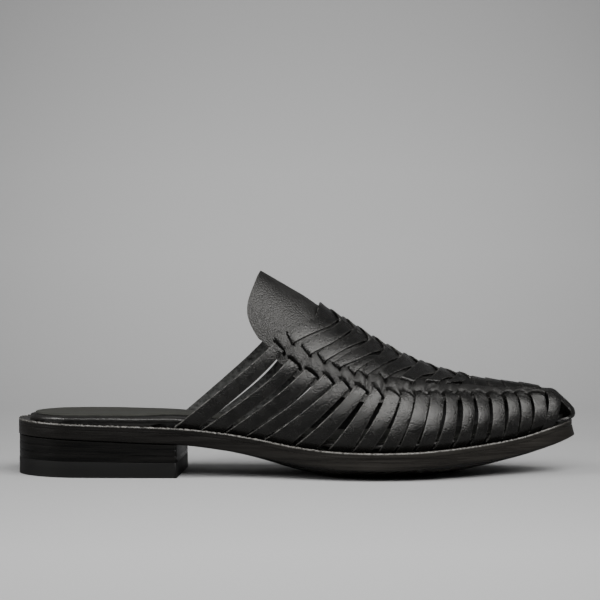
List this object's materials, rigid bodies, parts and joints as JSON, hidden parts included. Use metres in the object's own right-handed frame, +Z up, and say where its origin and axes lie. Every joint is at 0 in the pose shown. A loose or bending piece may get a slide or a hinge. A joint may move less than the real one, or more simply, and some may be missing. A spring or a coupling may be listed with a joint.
{
  "type": "mule",
  "caption": "Women's right-foot woven leather mule with open heel, raised tongue, slit side straps, thin leather sole and low stacked heel",
  "frame": {"origin": "centre of the footprint on the floor", "axes": "+X to the toe, +Y to the inner (medial) side, +Z up"},
  "size_m": [0.2716, 0.0872, 0.0984],
  "materials": {
    "upper_leather": "black pebbled leather, satin",
    "insole_leather": "dark matte leather",
    "sole_leather": "dark stained leather edge, satin",
    "heel_rubber": "matte black"
  },
  "bodies": {
    "root": {"upper": "upper_leather", "insole": "insole_leather", "welt": "sole_leather", "outsole": "sole_leather", "heel_lift_upper": "sole_leather", "heel_lift_middle": "sole_leather", "heel_lift_lower": "sole_leather", "top_lift": "heel_rubber"}
  },
  "joints": []
}
